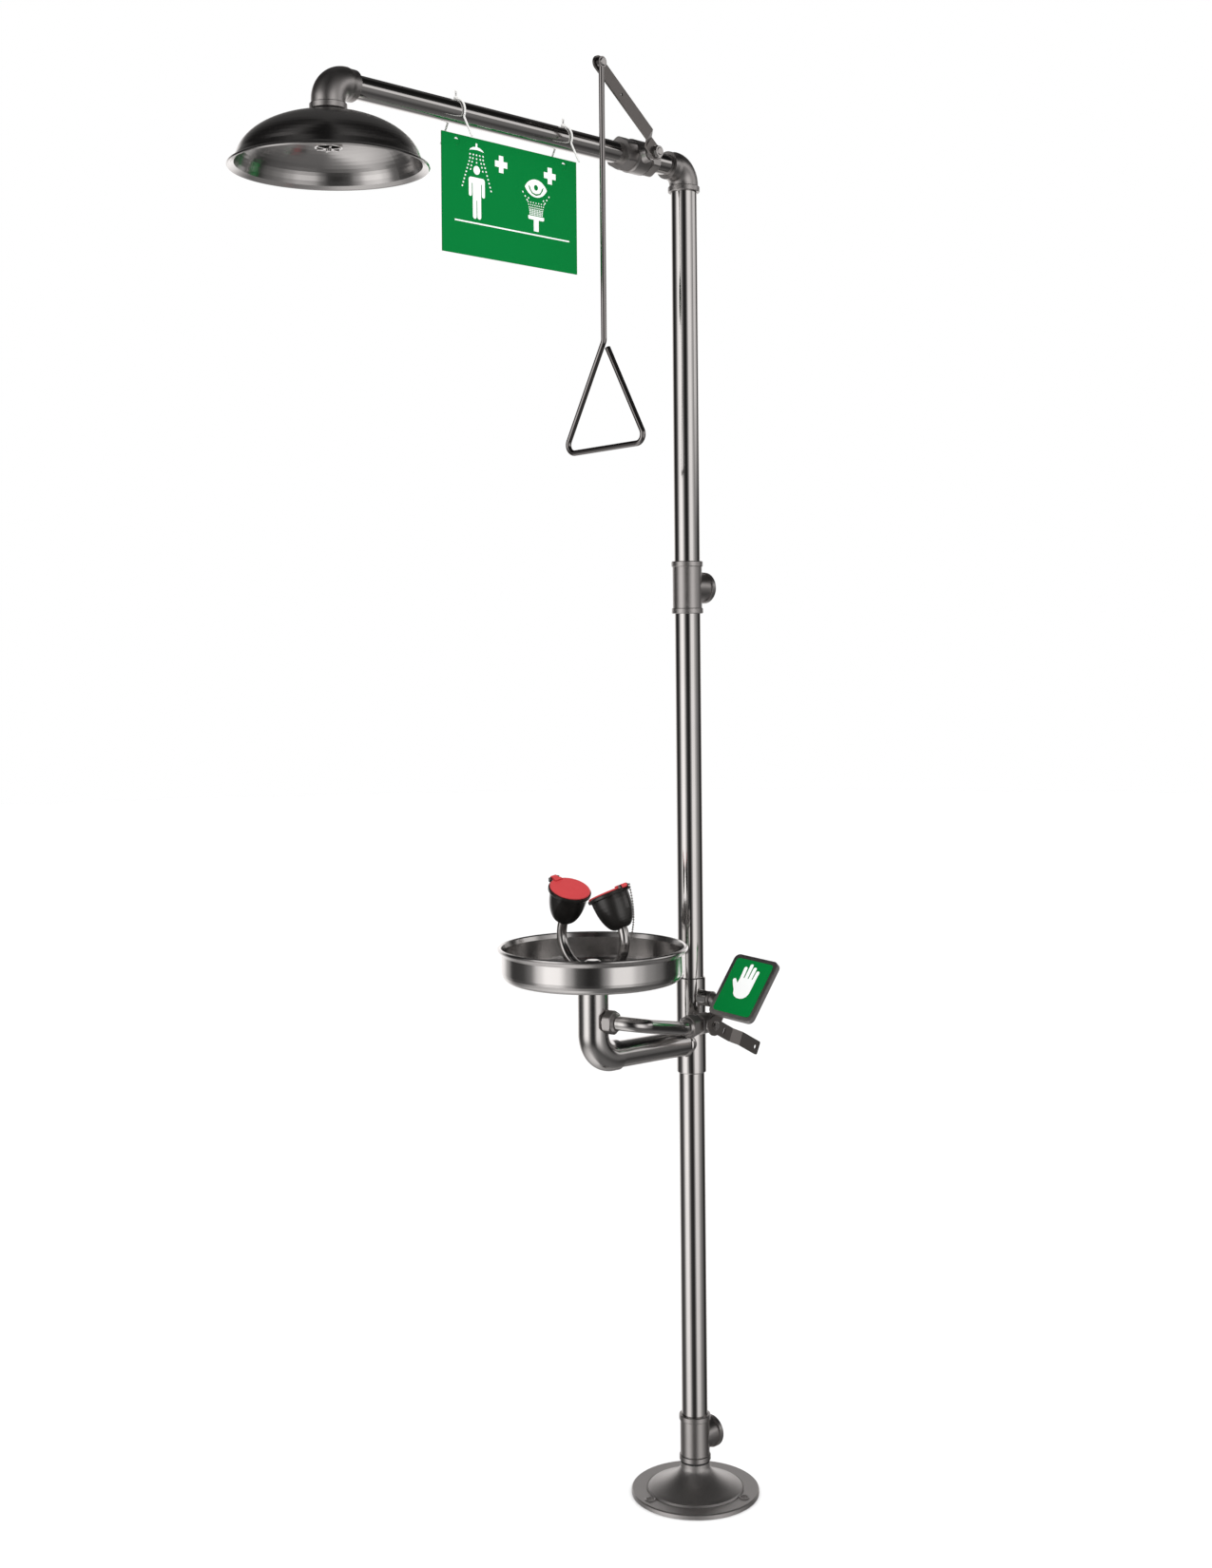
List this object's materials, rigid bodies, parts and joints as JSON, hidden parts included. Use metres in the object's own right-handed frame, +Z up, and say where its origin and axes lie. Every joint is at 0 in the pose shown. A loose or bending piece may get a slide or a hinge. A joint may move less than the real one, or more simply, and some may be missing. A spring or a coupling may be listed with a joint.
{
  "type": "emergency safety shower",
  "caption": "Floor-standing combination emergency shower and eyewash: pipe column with overhead drench head, pull rod, sign, hand-operated eyewash bowl and flip caps.",
  "frame": {"origin": "centre of the floor screw circle, on the underside of the floor flange, on the column's axis", "axes": "+Z up the column, shower arm and eyewash arm towards -X, both handles and the fronts towards -Y, pipe connections towards +X"},
  "size_m": [0.9735, 0.3124, 2.2716],
  "materials": {
    "tube_steel": "polished welded stainless tube with fine drawn lines",
    "cast_steel": "bead-blasted cast stainless fitting, soft sheen",
    "spun_steel": "spun and brushed stainless sheet",
    "lever_steel": "dark rolled stainless strip",
    "rod_steel": "drawn round bar, satin",
    "fastener_steel": "turned stainless",
    "ball_chrome": "polished ball",
    "seat_white": "white fluoropolymer",
    "seal_black": "matt black sealing ring",
    "sign_green": "printed safety green on sheet, satin",
    "sign_white": "white printed pictogram",
    "tie_white": "white braided cord",
    "cup_black": "moulded black plastic",
    "insert_grey": "moulded grey spray insert",
    "cap_red": "moulded red plastic"
  },
  "bodies": {
    "frame": {"base_flange": "cast_steel", "base_seal_ring": "seal_black", "base_nipple": "tube_steel", "bottom_tee": "cast_steel", "lower_column": "tube_steel", "column_sleeve": "tube_steel", "separator_plug": "tube_steel", "middle_column": "tube_steel", "inlet_tee": "cast_steel", "upper_column": "tube_steel", "top_elbow": "cast_steel", "arm_nipple": "tube_steel", "shower_valve_body": "cast_steel", "shower_valve_end": "cast_steel", "shower_valve_seats": "seat_white", "shower_gland_nut": "fastener_steel", "shower_arm": "tube_steel", "head_elbow": "cast_steel", "head_nipple": "tube_steel", "head_gasket": "seal_black", "shower_head": "spun_steel", "head_locknut": "fastener_steel", "spray_deflector": "spun_steel", "deflector_screw": "fastener_steel", "eyewash_bowl": "spun_steel", "bowl_strainer": "spun_steel", "drain_flange": "cast_steel", "drain_elbow": "tube_steel", "drain_arm": "tube_steel", "riser_pipe": "tube_steel", "nozzle_manifold": "cast_steel", "nozzle_tube_left": "tube_steel", "nozzle_tube_right": "tube_steel", "nozzle_cup_left": "cup_black", "nozzle_cup_right": "cup_black", "spray_inserts": "insert_grey", "cap_hinge_pins": "fastener_steel", "cap_chains": "fastener_steel", "union_nuts": "cast_steel", "supply_tube": "tube_steel", "eyewash_valve_body": "cast_steel", "eyewash_valve_seats": "seat_white", "eyewash_gland_nut": "fastener_steel", "valve_elbows": "cast_steel"},
    "shower_handle": {"shower_lever": "lever_steel", "shower_lever_nut": "fastener_steel", "shower_valve_stem": "fastener_steel", "shower_valve_ball": "ball_chrome", "pull_rod_pin": "fastener_steel"},
    "rod": {"pull_rod": "rod_steel"},
    "sign": {"sign_board": "sign_green", "sign_ties": "tie_white"},
    "cap_left": {"dust_cap_left": "cap_red"},
    "cap_right": {"dust_cap_right": "cap_red"},
    "eyewash_handle": {"handle_plate": "lever_steel", "handle_screw": "fastener_steel", "push_plate": "spun_steel", "push_decal": "sign_green", "eyewash_valve_stem": "fastener_steel", "eyewash_valve_ball": "ball_chrome"}
  },
  "joints": [
    {"name": "shower_lever_turn", "type": "hinge", "parent": "frame", "child": "shower_handle", "pos_m": [-0.119, 0, 2.152], "axis": [0, -1, 0], "range_deg": [0, 90]},
    {"name": "pull_rod_swing", "type": "hinge", "parent": "shower_handle", "child": "rod", "pos_m": [-0.26003, -0.0636, 2.26061], "axis": [0, -1, 0], "range_deg": [-90, 0]},
    {"name": "sign_swing", "type": "hinge", "parent": "frame", "child": "sign", "pos_m": [-0.39, 0, 2.152], "axis": [1, 0, 0], "range_deg": [-10, 10]},
    {"name": "push_handle_turn", "type": "hinge", "parent": "frame", "child": "eyewash_handle", "pos_m": [-0.038, -0.056, 0.775], "axis": [0, 1, 0], "range_deg": [0, 90]},
    {"name": "cap_left_open", "type": "hinge", "parent": "frame", "child": "cap_left", "pos_m": [-0.23936, 0.07409, 1.01663], "axis": [-0.9903, 0, -0.1392], "range_deg": [0, 110]},
    {"name": "cap_right_open", "type": "hinge", "parent": "frame", "child": "cap_right", "pos_m": [-0.23936, -0.07409, 1.01663], "axis": [0.9903, 0, 0.1392], "range_deg": [0, 110]}
  ],
  "couplings": [
    {"joint": "pull_rod_swing", "follows": "shower_lever_turn", "ratio": -1}
  ]
}
